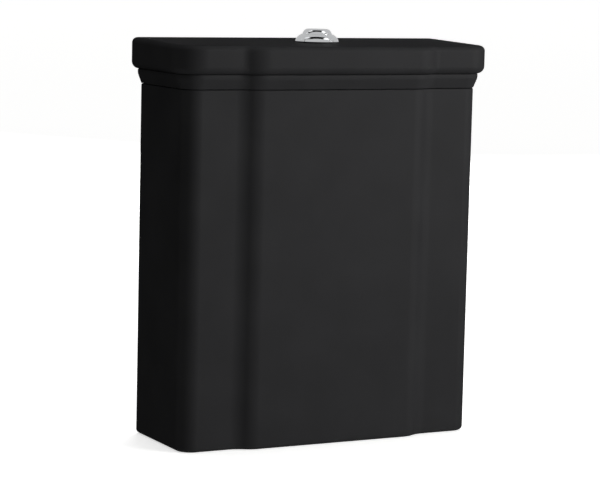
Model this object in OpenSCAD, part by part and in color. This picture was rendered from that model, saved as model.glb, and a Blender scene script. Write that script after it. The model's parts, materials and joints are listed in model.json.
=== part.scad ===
// Close-coupled toilet cistern: breakfront tank, corniced lid, push button, flush valve and fill valve.
// Millimetres, +Z up, front towards -Y, back (the wall side) towards +Y.
// The origin lies on the axis of the button and the flush outlet, in the plane of the tank's foot.

/* [Tank] */
// Width of the tank over its flanks
tank_w = 368; // [340:1:400]
// Depth of the tank from the wall to the flanks
tank_d = 128; // [122:1:150]
// Height of the tank from its foot to its rim
tank_h = 400; // [370:1:430]
// Thickness of the ceramic walls
tank_wall = 11; // [9:0.5:12]
// Thickness of the tank floor
floor_t = 12; // [10:0.5:15]
// Height of the hollow foot under the floor
skirt_h = 48; // [44:1:56]
// Radius of the two front corners in plan
corner_r = 19; // [16:1:26]
// Radius of the two back corners in plan
back_r = 4; // [2:0.5:6]
// Rounding of the outer edge at the foot
foot_r = 5; // [2:0.5:6]
// Rounding of the outer edge at the rim
rim_r = 2.5; // [1.5:0.5:4]
// Rounding between the inner walls and the floor
cove_r = 8; // [4:0.5:9]

/* [Breakfront] */
// How far the middle panel stands in front of the flanks
front_step = 9; // [7:0.5:11]
// Distance from the middle to the centre of each ogee
step_x = 111; // [100:1:120]
// Width of each ogee
step_w = 26; // [24:1:32]

/* [Lid] */
// Thickness of the rubber buffers, which is the joint between lid and rim
lid_gap = 1.5; // [1:0.25:3]
// Diameter of a rubber buffer
buffer_d = 6; // [4:0.5:6.5]
// Height of the lid over the joint
lid_h = 48.5; // [46:0.5:54]
// How far the cornice band stands out from the tank
lid_overhang = 12.3; // [11:0.1:13]
// Thickness of the top of the lid
lid_t = 12; // [10:0.5:13]
// Height of the moulding under the cornice band
mould_h = 15.5; // [14:0.5:18]
// Height of the bevel at the bottom of the moulding
bevel_h = 9; // [6:0.5:10]
// How far the moulding stands out from the tank
mould_out = 4.8; // [3.5:0.1:5]
// Depth of the quirk between the moulding and the cornice band
quirk = 1.2; // [0.6:0.1:2]
// How far the bevel starts out from the tank
bevel_in = 0.5; // [0:0.1:1]
// Softening of the moulding's edges
edge_break = 0.8; // [0.5:0.1:1]
// Radius under the cornice band
under_r = 7; // [5.5:0.5:8]
// Radius at the top edge of the lid
top_r = 6; // [4:0.5:8]
// How much lower the lid's top is at the front than at the back, so that water runs off
lid_fall = 4; // [0:0.5:6]
// How far the level seat of the button reaches beyond the collar
seat_rim = 1; // [0.5:0.25:2]
// Depth of the lip that centres the lid in the tank
lip_h = 9; // [5:0.5:12]
// Thickness of the lip
lip_t = 7; // [5:0.5:8]
// Distance from the wall to the back of the lid
wall_gap = 0.5; // [0:0.1:2]

/* [Button] */
// Diameter of the collar
collar_d = 49.2; // [47:0.1:54]
// Height of the collar over its gasket
collar_h = 8.2; // [7:0.1:9]
// Height of the straight lip at the foot of the collar
collar_lip = 1.2; // [0.8:0.1:2]
// Radius of the collar's swelling flank
collar_swell = 13; // [12:0.25:15]
// Slope of the flank at the lip, in degrees from upright
collar_lean = 22; // [15:1:26]
// Diameter of the push button
button_d = 34; // [32:0.5:36]
// Height of the button's top above the lid
button_h = 15; // [14:0.1:16]
// Height of the button's straight wall above the lid
wall_z = 8.4; // [8:0.1:9.5]
// Radius of the button's swelling shoulder
button_swell = 10.3; // [9.5:0.1:12]
// Slope of the shoulder at the wall, in degrees from upright
button_lean = 12; // [8:1:16]
// Height of the button's underside above the lid
button_under = 4; // [3:0.1:5]
// Travel of the button
button_travel = 7; // [5:0.5:7.5]
// Length of the collar's shank below the top of the lid
shank_l = 26; // [25:0.5:30]
// Wall of the shank
shank_wall = 2; // [1.5:0.1:3]
// Thickness of the web that guides the button's stem
web_t = 3; // [2:0.5:4]
// Diameter of the button's stem
stem_d = 12; // [10:0.5:13]
// Length of the stem below the shank
stem_out = 8; // [7.5:0.5:12]
// Height of the ring nut under the lid
ring_nut_h = 9; // [6:0.5:10]
// Width of the ring nut
ring_nut_w = 5.5; // [4:0.5:8]
// Width of the ring nut's grips
grip_w = 4; // [3:0.5:6]
// How far the grips stand out
grip_out = 2; // [1:0.25:3]
// Diameter of the wire of the return spring
spring_wire = 1.8; // [1.2:0.1:2]
// Diameter of the return spring at the middle of its wire
spring_d = 21; // [18:0.5:24]
// Diameter of the push rod
rod_d = 8; // [6:0.5:10]
// Diameter of the foot of the push rod
rod_foot_d = 14; // [12:0.5:16]
// Height of the foot of the push rod
rod_foot_h = 4; // [3:0.5:6]
// Width of the push rod's key over its corners
rod_hex_d = 12; // [10:0.5:14]

/* [Seals] */
// Thickness of the gaskets on the tank floor
gasket_t = 3; // [2:0.25:4]
// Thickness of the gasket under the collar
collar_gasket_t = 0.8; // [0.5:0.1:1.5]
// How far that gasket stands back from the collar's edge
collar_gasket_in = 2.2; // [1.5:0.1:3]
// Thickness of the washer over the ring nut
nut_washer_t = 1.5; // [1:0.1:2]
// Width of the washer over the ring nut
nut_washer_w = 9; // [7:0.5:10]
// How far the sealing disc reaches over the valve seat
seal_over = 2.5; // [1.5:0.25:3]
// Thickness of the sealing disc
seal_t = 3; // [2:0.25:4]
// Wall of the foam coupling washer
washer_wall = 8.5; // [7:0.5:10]
// Height of the foam coupling washer
washer_h = 33; // [28:1:38]
// Height of the coupling washer's narrowed nose
washer_taper = 7; // [5:0.5:9]
// How much the nose is narrowed on each side
washer_nose = 2.5; // [1.5:0.25:3.5]

/* [Flush valve] */
// Diameter of the outlet tail over its thread
tail_d = 58; // [57:0.5:60]
// Bore of the outlet tail
tail_bore = 48; // [44:0.5:49]
// Length of the tail below the tank floor
tail_l = 38; // [34:1:42]
// Diameter of the flange on the tank floor and of the back nut's collar
flange_d = 80; // [76:1:84]
// Thickness of the flange
flange_t = 5; // [4:0.5:6]
// How much wider the valve seat is than the tail's bore, all round
seat_step = 1.5; // [1:0.25:2]
// Wall of the valve seat
seat_wall = 3; // [2:0.25:3.5]
// Height of the valve seat over the flange
seat_h = 5; // [4:0.5:7]
// How far the back nut stands back from its collar
nut_step = 3.5; // [3:0.25:4.5]
// Height of the back nut
nut_h = 14; // [10:1:18]
// Height of the back nut's collar
nut_collar_h = 4; // [3:0.5:5]
// Width of the back nut's ribs
rib_w = 5; // [3:0.5:7]
// How far the ribs stand out
rib_out = 2.5; // [1.5:0.25:2.75]
// How far the basket stands back from the edge of the flange
basket_step = 2; // [1:0.25:3]
// Wall of the basket
basket_wall = 5; // [4:0.5:5.5]
// Height of the basket
basket_h = 122; // [110:1:126]
// Width of the windows of the basket
window_w = 26; // [20:1:32]
// Height of the windows of the basket
window_h = 32; // [24:1:34]
// Width of the setting slots of the basket
slot_w = 8; // [6:0.5:10]
// Height of the setting slots of the basket
slot_h = 44; // [30:1:50]
// How far the cap reaches over the basket
cap_over = 7; // [5:0.5:9]
// Thickness of the cap
cap_t = 5; // [4:0.5:6]
// Height of the cap's skirt over the basket
cap_skirt = 10; // [6:0.5:14]
// Wall of the cap's skirt and guide
cap_wall = 2.5; // [2:0.1:4]
// Height of the cap's guide for the tube
cap_guide = 9; // [6:0.5:14]
// Diameter of the lift tube
tube_d = 28; // [26:0.5:29]
// Wall of the lift tube
tube_wall = 2.5; // [2:0.1:3]
// How far the clamping disc stands back from the edge of the seal
disc_step = 5; // [4:0.5:7]
// Thickness of the disc
disc_t = 3; // [2:0.25:4]
// Thickness of the ring that holds the seal from below
retainer_t = 5; // [4:0.5:6]
// Height of the float on the tube
flush_float_h = 48; // [36:1:56]
// Height of the float's collar
float_collar_h = 4; // [3:0.5:6]
// Gap between the windows and the float's collar
float_lift = 4; // [2:0.5:6]

/* [Rockers] */
// Height of the rockers' pivots below the tank rim
pivot_drop = 94; // [88:1:104]
// Distance from the middle to a rocker's pivot
pivot_x = 36; // [35:0.5:38]
// Length of a rocker's outer arm
arm_out = 16; // [15.5:0.5:18]
// Length of a rocker's inner arm
arm_in = 18; // [17:0.25:18.5]
// Width of a rocker
rocker_w = 8; // [6:0.5:10]
// Diameter of a rocker's hub
hub_d = 12; // [10:0.5:14]
// Diameter of a rocker's round ends
pad_d = 6; // [5:0.5:6.5]
// Height of a rocker's arms at the hub
arm_root = 8.4; // [7:0.2:9]
// Height of a rocker's arms at their ends
arm_tip = 3.6; // [3:0.2:5]
// Diameter of the pivot pins
pin_d = 4; // [3:0.25:5]
// Width of a column
column_w = 10; // [9:0.5:11]
// Depth of a column
column_d = 22; // [20:0.5:26]
// Height of the slot in a column
fork_h = 26; // [24:1:30]
// Reach of the ring that the rockers lift
ring_reach = 5; // [4:0.25:6]
// Thickness of the ring that the rockers lift
ring_t = 5; // [4:0.5:6]
// Height of the tube above that ring
tube_over = 5; // [3:0.5:8]
// Thickness of the bridge
bridge_t = 6; // [5:0.5:8]
// Height of the plunger's guide
guide_h = 14; // [10:0.5:18]
// Wall of the plunger's guide
guide_wall = 4; // [3:0.25:5]
// Diameter of the plunger's stem
guide_d = 12; // [10:0.5:13]
// Height of the plunger's crossbar
bar_h = 6; // [5:0.5:8]
// Depth of the plunger's crossbar
bar_d = 12; // [10:0.5:16]
// Width of the plunger's legs
leg_w = 5; // [4:0.25:5.5]
// Depth of the plunger's legs
leg_d = 10; // [8:0.5:11]
// Diameter of the plunger's head
plunger_d = 18; // [16:0.5:22]
// Height of the plunger's head
plunger_h = 4; // [3:0.5:6]

/* [Fill valve] */
// Distance from the side of the tank to the inlet
inlet_side = 69; // [64:1:76]
// Diameter of the supply thread
supply_d = 16.6; // [15:0.1:18]
// Length of the supply thread
supply_l = 24; // [20:1:26]
// Diameter of the mounting thread
inlet_d = 20.8; // [19.5:0.1:22]
// Length of the mounting thread below the tank floor
inlet_l = 16; // [13:1:20]
// Bore for the incoming water
water_bore = 10; // [8:0.5:11]
// Diameter of the flange on the tank floor
inlet_flange_d = 34; // [32:1:38]
// Thickness of that flange
inlet_flange_t = 4; // [3:0.5:6]
// Width of the inlet's back nut over its corners
inlet_nut_d = 34; // [32:1:38]
// Height of the inlet's back nut
inlet_nut_h = 10; // [8:1:12]
// Length of the strainer in the inlet
filter_l = 18; // [12:1:22]
// Wall of the strainer
filter_t = 2; // [1.5:0.25:2.5]
// Diameter of the riser
riser_d = 18; // [16:0.5:19]
// Size of the root where the riser leaves its flange
root_r = 2; // [1:0.25:3]
// Width of the float's lower stop
stop_w = 3; // [2:0.5:4]
// Height of the float's lower stop
stop_h = 4; // [3:0.5:6]
// Depth of the float's lower stop below the rim
float_drop = 200; // [185:1:215]
// Diameter of the float
float_d = 60; // [54:1:64]
// Height of the float
float_h = 52; // [44:1:60]
// Chamfer of the float
float_chamfer = 3; // [2:0.5:5]
// Size of the lug that carries the link
lug = 9; // [8:0.5:10]
// Rise of the float that shuts the valve
float_rise = 12; // [8:0.5:14]
// Diameter of the link
link_d = 4; // [3:0.5:5]
// Diameter of the link's two stops
link_stop_d = 9; // [8:0.5:11]
// Height of the link's stops
link_stop_h = 3; // [2:0.25:4]
// Length of the link above its upper stop
link_over = 18; // [10:1:24]
// Depth of the valve head's foot below the rim
head_drop = 110; // [100:1:120]
// Diameter of the valve head
head_d = 38; // [34:1:42]
// Height of the valve head
head_h = 24; // [20:1:28]
// Wall of the valve head
head_wall = 6; // [4:0.5:7]
// Thickness of the diaphragm
diaphragm_t = 2; // [1.5:0.1:3]
// Height of the screw cap above the diaphragm
screw_cap_h = 8; // [6:0.5:10]
// Depth of the screw cap's skirt
screw_skirt = 6; // [4:0.5:8]
// Width of the screw cap's ribs
knurl_w = 2.4; // [1.6:0.2:3]
// How far those ribs stand out
knurl_out = 0.8; // [0.5:0.1:1]
// Distance from the riser to the lever's pivot
lever_back = 27; // [26.5:0.5:32]
// Height of the lever's pivot above the screw cap
lever_over = 6; // [5.5:0.5:9]
// Width of the lever
lever_w = 8; // [6:0.5:10]
// Thickness of the lever
lever_t = 6; // [5:0.5:7]
// Diameter of the lever's hub
lever_hub_d = 10; // [8:0.5:11]
// Diameter of the lever's eye
eye_d = 14; // [12:0.5:15]
// Length by which the eye's hole is drawn out
eye_slot = 3; // [2:0.25:4]
// Thickness of the two ears that hold the lever
ear_t = 3; // [2.5:0.25:4]
// Width of those ears
ear_w = 8; // [7:0.25:8.5]
// Height of the bracket that carries the ears
bracket_h = 9; // [6:0.5:12]
// Diameter of the spout
spout_d = 12; // [10:0.5:14]
// Wall of the spout
spout_wall = 1.5; // [1:0.1:2]
// Height of the arm that leads the water to the spout
spout_arm = 15; // [13:0.5:15.5]
// Distance from the riser to the spout
spout_y = 40; // [38:0.5:46]
// Height of the spout's mouth above the tank floor
spout_foot = 33; // [20:1:60]

/* [Fixing] */
// Distance between the two bolt holes in the floor
bolt_pitch = 150; // [136:1:160]
// Diameter of the bolt holes
bolt_hole = 11; // [9:0.5:12]
// Distance between the two screw holes in the back
screw_pitch = 220; // [180:1:240]
// Diameter of the screw holes
screw_hole = 8; // [6:0.5:9]
// Height of the screw holes below the rim
screw_drop = 36; // [30:1:44]

/* [Clearances] */
// Play between the lid's lip and the tank walls
lip_clear = 2; // [1:0.25:3]
// Play round the shank in the lid and round the inlet thread in the floor
hole_clear = 0.8; // [0.5:0.1:1.5]
// Radial play of guided plastic pieces
slide_play = 0.4; // [0.35:0.05:0.6]
// Radial play of the button in its collar
button_play = 0.2; // [0.15:0.05:0.4]
// Play round the outlet tail in the tank floor
outlet_clear = 2; // [1:0.25:4]
// Play between the ring under the seal and the valve seat
retainer_clear = 3; // [2:0.25:4]
// Play between the float on the tube and the basket
float_clear = 4; // [3:0.5:6]
// Play of the link in the lever's eye
link_play = 0.6; // [0.4:0.1:1]
// Play between the lever and the link's stops
link_gap = 1.6; // [1.2:0.1:2.5]
// Play between the lever and its ears
ear_gap = 1; // [0.5:0.1:1.5]
// Play between the foam washer and the back nut
washer_clear = 0.5; // [0.3:0.1:1]
// Radial play of pivots
pin_play = 0.08; // [0.05:0.01:0.1]
// Radial play of nuts and rings on their threads
thread_play = 0.15; // [0.05:0.05:0.3]
// Play between pieces that push each other
touch_play = 0.3; // [0.2:0.05:0.5]
// Free space that moving pieces keep at the end of their travel
run_clear = 2; // [1.5:0.25:4]
// Chamfer of threaded ends
chamfer = 0.8; // [0.5:0.1:1.5]

/* [Hidden] */
$fn = 64;
back_n = 3;
corner_n = 8;
ogee_n = 5;
grip_n = 8;
rib_n = 12;
spring_n = 6;
curl_n = 8;
wire_n = 6;
cut = 1;
least_r = 0.5;
total_d = tank_d + front_step + lid_overhang;
hw = tank_w / 2;
back_y = total_d / 2;
flank_y = back_y - tank_d;
panel_y = flank_y - front_step;
ogee_r = (step_w * step_w + front_step * front_step) / (4 * front_step);
ogee_a = asin(step_w / (2 * ogee_r));
floor_top = skirt_h + floor_t;
seat_z = floor_top + gasket_t;
lid_z = tank_h + lid_gap;
lid_top = lid_z + lid_h;
ceiling_z = lid_top - lid_t;
lip_o = -(tank_wall + lip_clear);
lip_back = back_y - tank_wall - lip_clear;
collar_r = collar_d / 2;
bore_r = button_d / 2 + button_play;
shank_r = bore_r + shank_wall;
stem_r = stem_d / 2;
stem_end = lid_top - shank_l - stem_out;
web_z = lid_top - shank_l + web_t;
tail_r = tail_d / 2;
seat_in = tail_bore / 2 + seat_step;
seat_r = seat_in + seat_wall;
flange_r = flange_d / 2;
nut_r = flange_r - nut_step;
seal_r = seat_r + seal_over;
basket_r = flange_r - basket_step;
lip_z = seat_z + flange_t + seat_h;
basket_z = seat_z + flange_t;
basket_top = basket_z + basket_h;
basket_in = basket_r - basket_wall;
flush_float_r = basket_in - float_clear;
window_z = basket_z + seat_h;
cap_z = basket_top + cap_t;
tube_r = tube_d / 2;
tube_fit = tube_r + thread_play;
tube_foot = lip_z - retainer_t - run_clear;
float_foot = window_z + window_h + float_lift;
pivot_z = tank_h - pivot_drop;
pad_r = pad_d / 2;
turn = button_travel / arm_out;
lift = turn * arm_in;
hook_z = pivot_z + pad_r + touch_play;
tube_top = hook_z + ring_t + tube_over;
bridge_z = tube_top + lift + 2 * run_clear;
guide_top = bridge_z + guide_h;
bar_z = guide_top + button_travel + run_clear;
plunger_top = bar_z + bar_h + plunger_h;
rod_end = plunger_top + touch_play;
leg_x = pivot_x + arm_out;
leg_end = hook_z + touch_play;
inlet_x = hw - inlet_side;
inlet_r = inlet_d / 2;
supply_r = supply_d / 2;
supply_end = skirt_h - inlet_l - supply_l;
riser_r = riser_d / 2;
float_z = tank_h - float_drop;
float_r = float_d / 2;
float_in = riser_r + slide_play;
lug_top = float_z + float_h - float_chamfer;
head_z = tank_h - head_drop;
head_r = head_d / 2;
diaphragm_z = head_z + head_h;
screw_cap_r = head_r + run_clear;
screw_cap_z = diaphragm_z + diaphragm_t;
lever_z = screw_cap_z + screw_cap_h + lever_over;
lever_x = inlet_x - lever_back;
link_x = inlet_x + float_r + lug / 2;
spout_r = spout_d / 2;
spout_in = spout_r - spout_wall;
spout_top = head_z + root_r;
ear_y = lever_w / 2 + ear_gap + ear_t;
spring_lo = web_z + spring_wire / 2 + touch_play / 3;
spring_hi = lid_top + button_under - spring_wire / 2 - touch_play / 3;
echo(rocker_turn_deg = turn * 180 / PI, valve_lift = lift);
echo(lever_turn_deg = float_rise / (link_x - lever_x) * 180 / PI);

// The breakfront outline in plan, moved outwards by o, with its straight back at y = back.
// Every curve keeps its centre, so outlines with different o run parallel to each other.
function half_outline(o, back) = concat(
    [for (i = [0:back_n]) let (a = 90 * i / back_n)
        [hw + o - back_r + back_r * sin(a), back - back_r + back_r * cos(a)]],
    [for (i = [0:corner_n]) let (a = -90 * i / corner_n, r = max(corner_r + o, least_r))
        [hw + o - r + r * cos(a), flank_y - o + r + r * sin(a)]],
    [for (i = [0:ogee_n]) let (a = 90 + ogee_a * i / ogee_n)
        [step_x + step_w / 2 + (ogee_r - o) * cos(a), flank_y - ogee_r + (ogee_r - o) * sin(a)]],
    [for (i = [1:ogee_n]) let (a = ogee_a - 90 - ogee_a * i / ogee_n, r = max(ogee_r + o, least_r))
        [step_x - step_w / 2 + r * cos(a), panel_y + ogee_r + r * sin(a)]]);

function outline(o, back) = let (h = half_outline(o, back), n = len(h))
    concat(h, [for (i = [n - 1:-1:0]) [-h[i].x, h[i].y]]);

// A solid through parallel outlines; levels lists [o, z, fall] from bottom to top.
// An outline with a fall is level from side to side and sinks by that much from the back to the front.
module loft(levels, back) {
    rings = [for (l = levels) [for (p = outline(l[0], back)) [p.x, p.y, l[1] + l[2] * p.y / total_d]]];
    n = len(rings[0]);
    h = n / 2;
    m = len(levels);
    // The front corner ends at point c, and the flank from there to the next point is straight.
    c = back_n + corner_n + 1;
    strip = concat([for (i = [0:h - 2]) if (i != c && i != c - 1) [i, i + 1, n - 2 - i, n - 1 - i]],
        [[c - 1, c, c + 1, n - 2 - c, n - 1 - c, n - c]]);
    polyhedron(
        points = [for (r = rings) each r],
        faces = concat(
            [for (k = [0:m - 2]) for (i = [0:n - 1]) let (j = (i + 1) % n)
                each [[k * n + i, k * n + j, k * n + n + j], [k * n + i, k * n + n + j, k * n + n + i]]],
            [for (f = strip) [for (i = [len(f) - 1:-1:0]) f[i]]],
            [for (f = strip) [for (i = f) (m - 1) * n + i]]));
}

// A straight block with the outline moved by o.
module block(o, back, z, height) {
    translate([0, 0, z])
        linear_extrude(height)
            polygon(outline(o, back));
}

// A ring turned round the Z axis.
module ring(r_in, r_out, z, height) {
    translate([0, 0, z])
        difference() {
            cylinder(r = r_out, h = height);
            translate([0, 0, -cut])
                cylinder(r = r_in, h = height + 2 * cut);
        }
}

// A round bar along Y with its middle at the origin.
module cross_bar(d, length) {
    translate([0, length / 2, 0])
        rotate([90, 0, 0])
            cylinder(d = d, h = length);
}

module at_inlet() {
    translate([inlet_x, 0, 0])
        children();
}

// A hole of diameter d through the tank floor.
module floor_hole(x, d) {
    translate([x, 0, skirt_h - cut])
        cylinder(d = d, h = floor_t + 2 * cut);
}

tank_skin = concat(
    [for (a = [0:22.5:90]) [-foot_r + foot_r * sin(a), foot_r - foot_r * cos(a), 0]],
    [for (a = [0:30:90]) [-rim_r + rim_r * cos(a), tank_h - rim_r + rim_r * sin(a), 0]]);
tank_inside = concat(
    [for (a = [0:30:90]) [-tank_wall - cove_r + cove_r * sin(a), floor_top + cove_r - cove_r * cos(a), 0]],
    [[-tank_wall, tank_h + cut, 0]]);

module tank() {
    color([0.05, 0.05, 0.055])
        difference() {
            loft(tank_skin, back_y);
            loft(tank_inside, back_y - tank_wall);
            block(-tank_wall, back_y - tank_wall, -cut, skirt_h + cut);
            floor_hole(0, tail_d + 2 * outlet_clear);
            floor_hole(inlet_x, inlet_d + 2 * hole_clear);
            for (s = [-1, 1])
                floor_hole(s * bolt_pitch / 2, bolt_hole);
            for (s = [-1, 1])
                translate([s * screw_pitch / 2, back_y, tank_h - screw_drop])
                    cross_bar(screw_hole, 3 * tank_wall);
        }
}

// The cornice: bevel, fillet, quirk, half-round underside, flat band and rounded top edge.
lid_skin = concat(
    [[bevel_in - edge_break, lid_z, 0], [bevel_in, lid_z + edge_break, 0],
        [mould_out - edge_break / 2, lid_z + bevel_h, 0],
        [mould_out - edge_break / 8, lid_z + bevel_h + 1.5 * edge_break, 0],
        [mould_out, lid_z + bevel_h + 3 * edge_break, 0],
        [mould_out, lid_z + mould_h - edge_break, 0],
        [mould_out - quirk, lid_z + mould_h - edge_break / 4, 0]],
    [for (a = [-90:18:0]) [lid_overhang - under_r + under_r * cos(a),
        lid_z + mould_h + under_r + under_r * sin(a), 0]],
    [for (a = [0:15:90]) [lid_overhang - top_r + top_r * cos(a),
        lid_top - top_r + top_r * sin(a), lid_fall]]);

module lid() {
    color([0.06, 0.06, 0.065])
        difference() {
            union() {
                loft(lid_skin, back_y - wall_gap);
                block(lip_o, lip_back, lid_z - lip_h, lip_h + cut);
                translate([0, 0, ceiling_z])
                    cylinder(r = collar_r + seat_rim, h = lid_t);
            }
            translate([0, 0, lid_top])
                cylinder(r = collar_r + seat_rim, h = lid_fall + cut);
            block(lip_o - lip_t, lip_back - lip_t, lid_z - lip_h - cut, ceiling_z - lid_z + lip_h + cut);
            translate([0, 0, ceiling_z - cut])
                cylinder(r = shank_r + hole_clear, h = lid_t + 2 * cut);
        }
}

module lid_buffers() {
    color([0.12, 0.12, 0.12])
        for (s = [-1, 1], y = [back_y - tank_d / 4, flank_y + corner_r + buffer_d])
            translate([s * (hw - (tank_wall + rim_r) / 2), y, tank_h])
                cylinder(d = buffer_d, h = lid_gap);
}

module button_collar() {
    color([0.82, 0.83, 0.85])
        translate([0, 0, lid_top])
            rotate_extrude()
                difference() {
                    union() {
                        intersection() {
                            translate([0, collar_gasket_t])
                                square([collar_r, collar_h]);
                            translate([collar_r - collar_swell * cos(collar_lean),
                                collar_gasket_t + collar_lip - collar_swell * sin(collar_lean)])
                                circle(collar_swell);
                        }
                        translate([0, -shank_l])
                            square([shank_r, shank_l + collar_gasket_t + collar_lip]);
                    }
                    translate([-cut, web_t - shank_l])
                        square([bore_r + cut, shank_l + collar_d]);
                    translate([-cut, -shank_l - cut])
                        square([stem_r + slide_play + cut, web_t + 2 * cut]);
                }
}

module collar_gasket() {
    color([0.15, 0.15, 0.15])
        ring(shank_r + thread_play, collar_r - collar_gasket_in, lid_top, collar_gasket_t);
}

module nut_washer() {
    color([0.2, 0.2, 0.2])
        ring(shank_r + thread_play, shank_r + nut_washer_w, ceiling_z - nut_washer_t, nut_washer_t);
}

module button_nut() {
    color([0.93, 0.93, 0.9])
        translate([0, 0, ceiling_z - nut_washer_t - ring_nut_h]) {
            ring(shank_r + thread_play, shank_r + ring_nut_w, 0, ring_nut_h);
            for (i = [0:grip_n - 1])
                rotate([0, 0, 360 * i / grip_n])
                    translate([shank_r + ring_nut_w / 2, -grip_w / 2, 0])
                        cube([ring_nut_w / 2 + grip_out, grip_w, ring_nut_h]);
        }
}

module push_button() {
    color([0.85, 0.86, 0.88])
        translate([0, 0, lid_top])
            rotate_extrude()
                union() {
                    translate([0, button_under])
                        square([button_d / 2, wall_z - button_under]);
                    intersection() {
                        translate([0, button_under])
                            square([button_d / 2, button_h - button_under]);
                        translate([button_d / 2 - button_swell * cos(button_lean),
                            wall_z - button_swell * sin(button_lean)])
                            circle(button_swell);
                    }
                    translate([0, wall_z - cut])
                        square([button_d / 2 - button_swell * cos(button_lean), button_h - wall_z + cut]);
                    translate([0, -shank_l - stem_out])
                        square([stem_r, shank_l + stem_out + button_under + cut]);
                }
}

// The return spring: one wire of round section, wound in even turns from the web to the button.
spring_rings = [for (i = [0:spring_n * curl_n])
    let (a = 360 * i / curl_n, z = spring_lo + (spring_hi - spring_lo) * i / (spring_n * curl_n))
        [for (k = [0:wire_n - 1])
            let (b = 360 * k / wire_n, r = (spring_d + spring_wire * cos(b)) / 2)
                [r * cos(a), r * sin(a), z + spring_wire / 2 * sin(b)]]];
spring_gap = min([for (i = [0:(spring_n - 1) * curl_n]) for (p = spring_rings[i])
    for (q = spring_rings[i + curl_n]) norm(p - q)]);
echo(spring_gap = spring_gap);

module button_spring() {
    n = wire_n;
    last = spring_n * curl_n * n;
    color([0.7, 0.71, 0.73])
        polyhedron(
            points = [for (r = spring_rings) each r],
            faces = concat(
                [for (i = [0:n:last - n]) for (k = [0:n - 1]) let (j = (k + 1) % n)
                    each [[i + j, i + k, i + n + k], [i + j, i + n + k, i + n + j]]],
                [[for (k = [0:n - 1]) k]],
                [[for (k = [n - 1:-1:0]) last + k]]));
}

module push_rod() {
    color([0.9, 0.9, 0.87]) {
        translate([0, 0, rod_end])
            cylinder(d = rod_foot_d, h = rod_foot_h);
        translate([0, 0, rod_end])
            cylinder(d = rod_d, h = stem_end - rod_end);
        translate([0, 0, rod_end + rod_foot_d])
            cylinder(d = rod_hex_d, h = rod_foot_h, $fn = 6);
    }
}

module outlet_seat() {
    color([0.92, 0.92, 0.9])
        rotate_extrude()
            polygon([[tail_bore / 2, skirt_h - tail_l], [tail_r - chamfer, skirt_h - tail_l],
                [tail_r, skirt_h - tail_l + chamfer], [tail_r, seat_z], [flange_r, seat_z],
                [flange_r, basket_z], [seat_r, basket_z], [seat_r, lip_z - chamfer],
                [seat_r - chamfer, lip_z], [seat_in + chamfer, lip_z], [seat_in, lip_z - chamfer],
                [seat_in, skirt_h + floor_t / 3], [tail_bore / 2, skirt_h + floor_t / 6]]);
}

module seat_gasket() {
    color([0.1, 0.1, 0.1])
        ring(tail_r + thread_play, flange_r + gasket_t / 2, floor_top, gasket_t);
}

module outlet_nut() {
    color([0.9, 0.9, 0.88]) {
        ring(tail_r + thread_play, nut_r, skirt_h - nut_h, nut_h);
        ring(tail_r + thread_play, flange_r, skirt_h - nut_collar_h, nut_collar_h);
        for (i = [0:rib_n - 1])
            rotate([0, 0, 360 * i / rib_n])
                translate([nut_r - rib_out, -rib_w / 2, skirt_h - nut_h])
                    cube([2 * rib_out, rib_w, nut_h - nut_collar_h / 2]);
    }
}

module coupling_washer() {
    r_in = flange_r + washer_clear;
    r_out = r_in + washer_wall;
    color([0.13, 0.13, 0.14])
        rotate_extrude()
            polygon([[r_in, skirt_h], [r_out - chamfer, skirt_h], [r_out, skirt_h - chamfer],
                [r_out, skirt_h - washer_h + washer_taper], [r_out - washer_nose, skirt_h - washer_h],
                [r_in + washer_nose, skirt_h - washer_h], [r_in, skirt_h - washer_h + washer_taper]]);
}

module valve_basket() {
    color([0.25, 0.45, 0.7])
        difference() {
            ring(basket_in, basket_r, basket_z, basket_h);
            for (a = [0:90:270])
                rotate([0, 0, a])
                    translate([basket_in / 2, -window_w / 2, window_z])
                        cube([basket_r, window_w, window_h]);
            for (a = [90, 270])
                rotate([0, 0, a])
                    translate([basket_in / 2, -slot_w / 2, basket_top - 2 * cap_skirt - slot_h])
                        cube([basket_r, slot_w, slot_h]);
        }
}

module valve_cap() {
    color([0.92, 0.92, 0.9]) {
        ring(tube_r + slide_play, basket_r + cap_over, basket_top, cap_t);
        ring(tube_r + slide_play, tube_r + slide_play + cap_wall, basket_top, cap_t + cap_guide);
        ring(basket_r + thread_play, basket_r + thread_play + cap_wall, basket_top - cap_skirt,
            cap_skirt + cap_t);
    }
}

module lift_tube() {
    color([0.93, 0.93, 0.93])
        ring(tube_r - tube_wall, tube_r, tube_foot, tube_top - tube_foot);
}

module seal_disc() {
    color([0.55, 0.16, 0.13])
        ring(tube_fit, seal_r, lip_z, seal_t);
}

module clamp_disc() {
    color([0.93, 0.93, 0.93])
        ring(tube_fit, seal_r - disc_step, lip_z + seal_t, disc_t);
}

module seal_retainer() {
    color([0.93, 0.93, 0.93])
        ring(tube_fit, seat_in - retainer_clear, lip_z - retainer_t, retainer_t);
}

module flush_float() {
    color([0.85, 0.85, 0.8])
        rotate_extrude()
            polygon([[tube_fit, float_foot], [tube_fit + float_collar_h, float_foot],
                [tube_fit + float_collar_h, float_foot + float_collar_h],
                [flush_float_r, float_foot + float_collar_h],
                [flush_float_r, float_foot + float_collar_h + flush_float_h],
                [tube_fit, float_foot + float_collar_h + flush_float_h]]);
}

module lift_ring() {
    color([0.93, 0.93, 0.93])
        ring(tube_fit, pivot_x - arm_in + ring_reach, hook_z, ring_t);
}

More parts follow.
